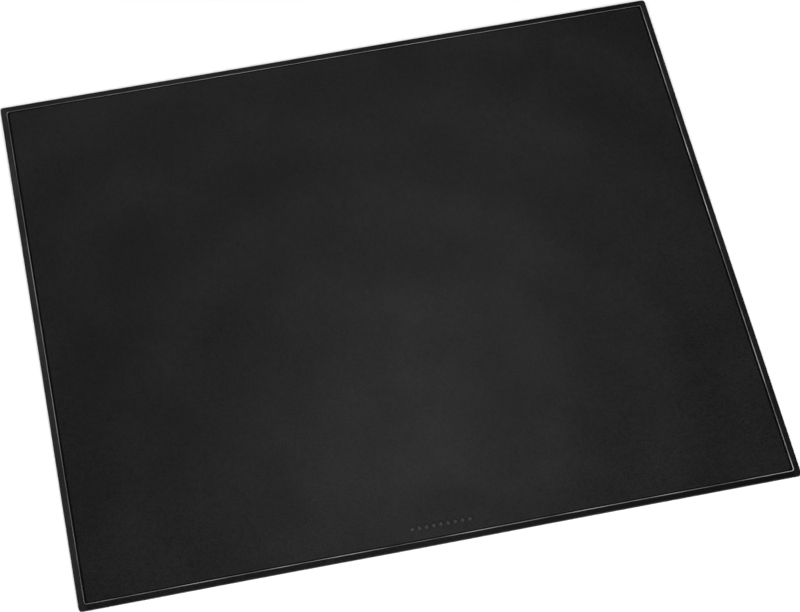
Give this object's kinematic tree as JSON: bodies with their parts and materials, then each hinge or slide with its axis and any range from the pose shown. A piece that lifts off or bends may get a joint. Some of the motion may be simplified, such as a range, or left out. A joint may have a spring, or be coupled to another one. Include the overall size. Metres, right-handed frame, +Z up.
{
  "type": "desk mat",
  "caption": "Thin padded rectangular desk mat with a moulded, beaded edge frame, a grained writing sheet and a loose clear cover that lifts off to hold notes.",
  "frame": {"origin": "centre of the underside, on the surface that the mat lies on", "axes": "+X along the long edges, +Y from the near long edge to the far one, +Z up"},
  "size_m": [0.65, 0.52, 0.0022],
  "materials": {
    "antislip_rubber": "matte, fine pebbled non-slip texture",
    "foam": "closed-cell foam, matte",
    "grained_sheet": "satin, very fine leather-like grain",
    "edge_moulding": "satin, with a polished bead along the inner edge",
    "clear_sheet": "clear, anti-glare matte"
  },
  "bodies": {
    "mat": {"antislip_base": "antislip_rubber", "foam_core": "foam", "writing_sheet": "grained_sheet", "edge_frame": "edge_moulding"},
    "cover": {"clear_cover": "clear_sheet"}
  },
  "joints": [
    {"name": "cover_lift", "type": "slide", "parent": "mat", "child": "cover", "axis": [0, 0, 1], "range_m": [0, 0.06]}
  ]
}
